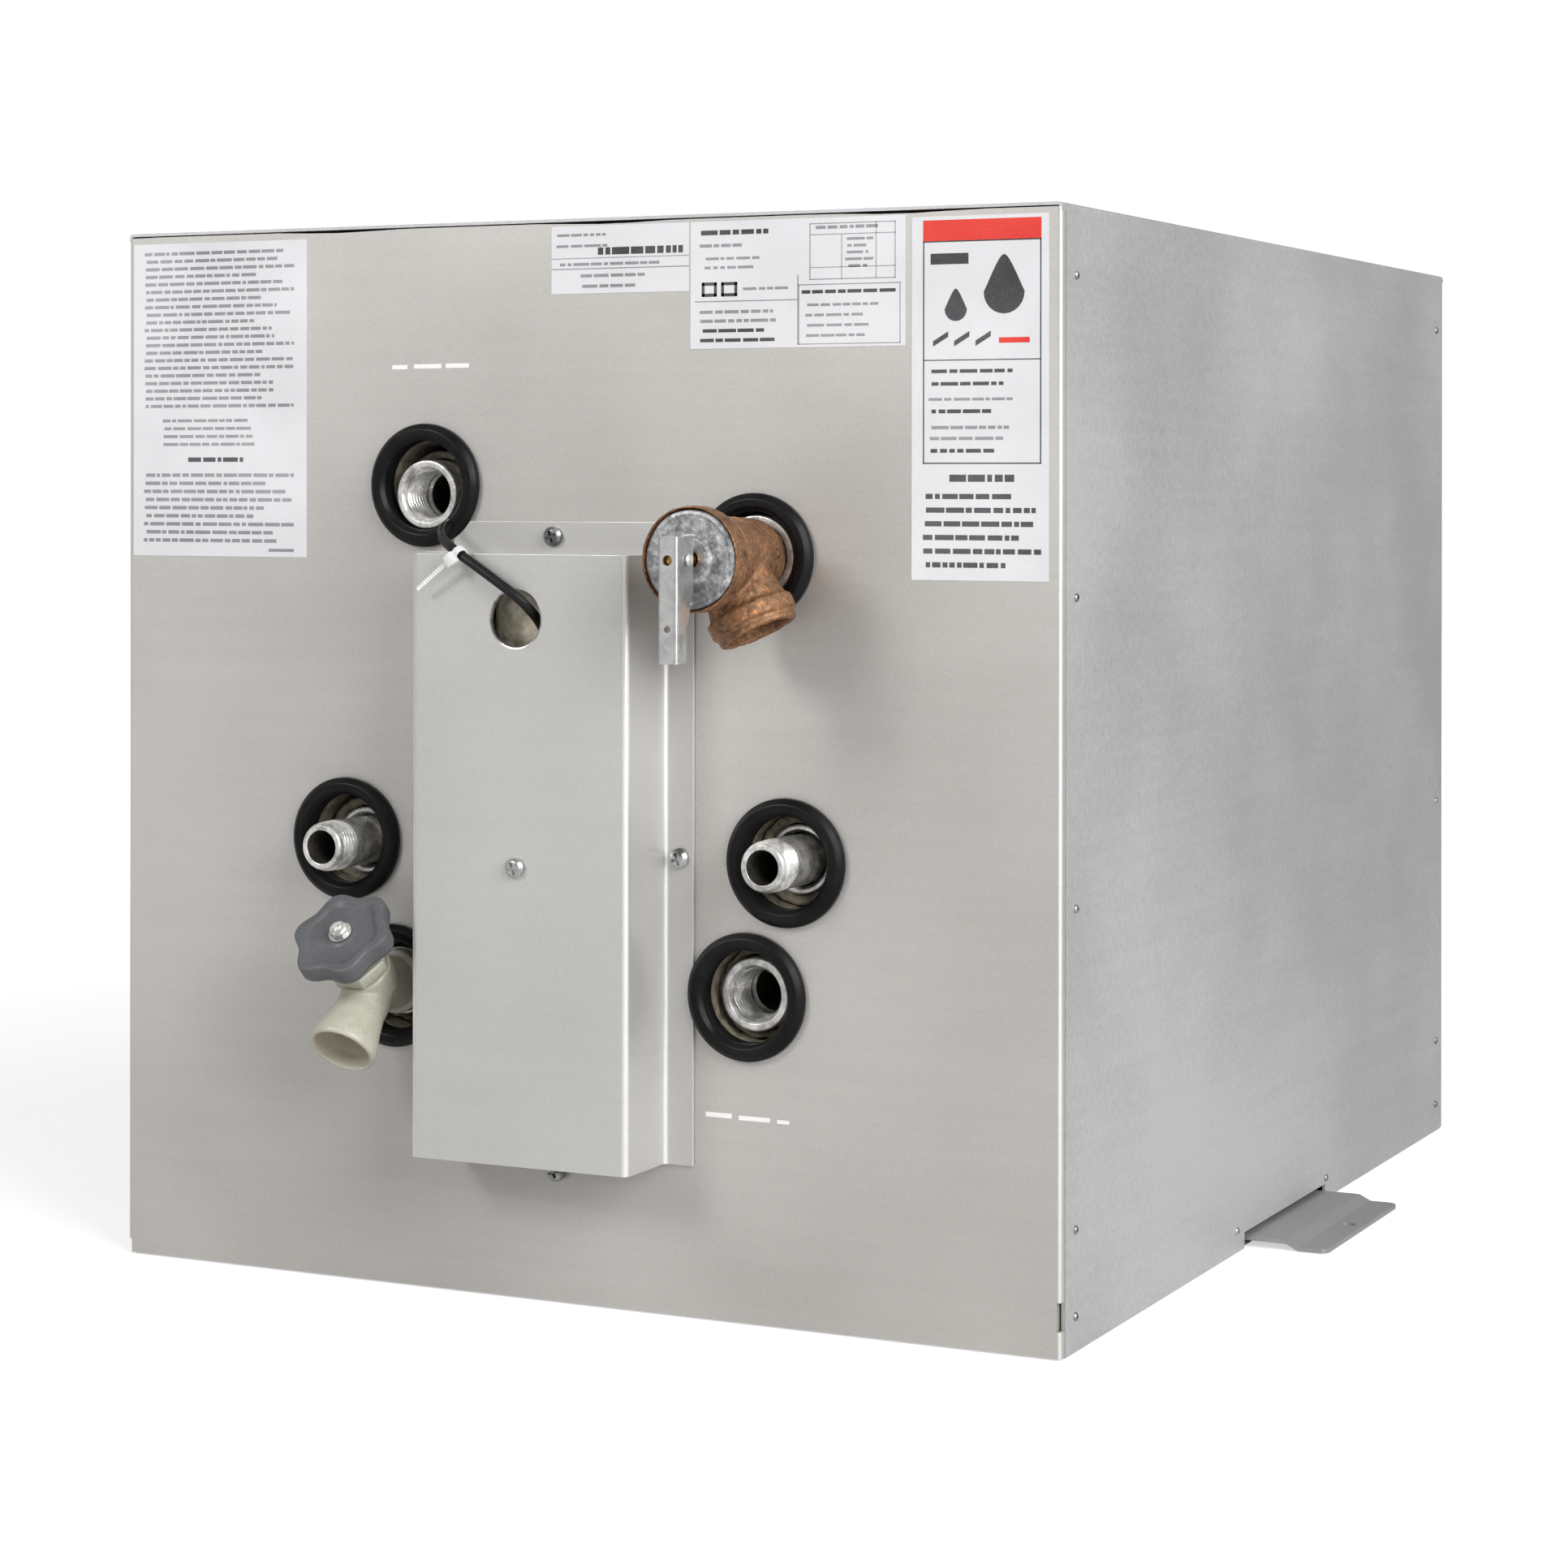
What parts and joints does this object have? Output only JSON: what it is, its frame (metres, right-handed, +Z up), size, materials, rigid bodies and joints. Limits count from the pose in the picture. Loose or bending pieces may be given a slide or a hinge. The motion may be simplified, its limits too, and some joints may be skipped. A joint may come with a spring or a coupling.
{
  "type": "tank water heater",
  "caption": "Square sheet-metal front-mount tank water heater: threaded ports in rubber grommets, lever relief valve, drain valve with handwheel, terminal cover and mounting ears.",
  "frame": {"origin": "centre of the case's footprint, on the surface that it stands on", "axes": "+Z up; +Y from the front panel, which holds every fitting, to the back panel; +X to the right as seen from the front"},
  "size_m": [0.477, 0.586, 0.417],
  "materials": {
    "front_sheet": "satin galvanised sheet, pale grey",
    "wrap_sheet": "satin galvanised sheet, slightly darker grey",
    "cover_sheet": "semi-gloss sheet",
    "fibre": "matt, porous insulation",
    "tank_steel": "dull welded steel",
    "threaded_steel": "bright machined steel",
    "copper": "bare copper pipe",
    "rubber": "semi-gloss black",
    "zinc_screw": "zinc plated",
    "black_plastic": "matt black",
    "white_nylon": "slightly translucent white",
    "red_plastic": "gloss red",
    "brass": "bare brass",
    "bronze": "rough sand-cast bronze",
    "valve_cap": "grey zinc plated disc, mottled",
    "lever_steel": "zinc plated strip",
    "cream_plastic": "moulded, light grey-cream",
    "grey_plastic": "moulded, mid grey"
  },
  "bodies": {
    "case": {"front_panel": "front_sheet", "back_panel": "front_sheet", "jacket_wrap": "wrap_sheet", "base_pan": "wrap_sheet", "terminal_cover": "cover_sheet", "insulation_lower": "fibre", "insulation_upper": "fibre", "tank_shell": "tank_steel", "hot_outlet_coupling": "threaded_steel", "cold_inlet_coupling": "threaded_steel", "relief_coupling": "threaded_steel", "drain_coupling": "threaded_steel", "coolant_coupling_left": "threaded_steel", "coolant_coupling_right": "threaded_steel", "element_coupling": "threaded_steel", "coolant_nipple_left": "threaded_steel", "coolant_nipple_right": "threaded_steel", "hot_pickup_pipe": "copper", "cold_diffuser_pipe": "copper", "heat_exchanger_pipe": "copper", "relief_probe": "copper", "grommet_hot": "rubber", "grommet_cold": "rubber", "grommet_relief": "rubber", "grommet_drain": "rubber", "grommet_coolant_left": "rubber", "grommet_coolant_right": "rubber", "element_gasket": "rubber", "cover_screw_top": "zinc_screw", "cover_screw_bottom": "zinc_screw", "cover_screw_left": "zinc_screw", "cover_screw_right": "zinc_screw", "cover_screw_centre": "zinc_screw", "cover_standoff": "zinc_screw", "thermostat_bracket": "zinc_screw", "thermostat_body": "black_plastic", "heating_element": "threaded_steel", "element_terminal_left": "brass", "element_terminal_right": "brass", "element_wire_left": "black_plastic", "element_wire_right": "white_nylon", "sensor_lead": "black_plastic", "cable_tie": "white_nylon", "relief_body": "bronze", "relief_cap": "valve_cap", "relief_spring": "threaded_steel", "drain_body": "cream_plastic", "drain_bonnet": "cream_plastic"},
    "relief_stem": {"relief_stem": "brass", "relief_lever_pin": "threaded_steel"},
    "relief_lever": {"relief_lever": "lever_steel"},
    "drain_stem": {"drain_stem": "white_nylon", "drain_washer": "rubber"},
    "drain_handwheel": {"drain_handwheel": "grey_plastic", "drain_wheel_screw": "threaded_steel"},
    "reset_button": {"reset_button": "red_plastic"},
    "thermostat_dial": {"thermostat_dial": "white_nylon"}
  },
  "joints": [
    {"name": "relief_stem_slide", "type": "slide", "parent": "case", "child": "relief_stem", "axis": [0, -1, 0], "range_m": [0, 0.004], "deforming": ["relief_spring"]},
    {"name": "relief_lever_turn", "type": "hinge", "parent": "relief_stem", "child": "relief_lever", "pos_m": [0.082, -0.321, 0.2878], "axis": [-1, 0, 0], "range_deg": [0, 90], "stiffness_Nm_per_rad": 0.15, "springref_deg": -28.65},
    {"name": "drain_stem_slide", "type": "slide", "parent": "case", "child": "drain_stem", "axis": [0, -0.7071, 0.7071], "range_m": [0, 0.0045]},
    {"name": "drain_handwheel_turn", "type": "hinge", "parent": "drain_stem", "child": "drain_handwheel", "pos_m": [-0.076, -0.274, 0.1196], "axis": [0, -0.7071, 0.7071], "range_deg": [0, 810]},
    {"name": "reset_button_slide", "type": "slide", "parent": "case", "child": "reset_button", "axis": [0, 1, 0], "range_m": [0, 0.0015], "stiffness_N_per_m": 50, "springref_m": -0.001},
    {"name": "thermostat_dial_turn", "type": "hinge", "parent": "case", "child": "thermostat_dial", "pos_m": [-0.0106, -0.24, 0.202], "axis": [0, -1, 0], "range_deg": [0, 150]}
  ],
  "couplings": [
    {"joint": "relief_stem_slide", "follows": "relief_lever_turn", "m_per_rad": 0.00254},
    {"joint": "drain_stem_slide", "follows": "drain_handwheel_turn", "m_per_rad": 0.000318}
  ]
}
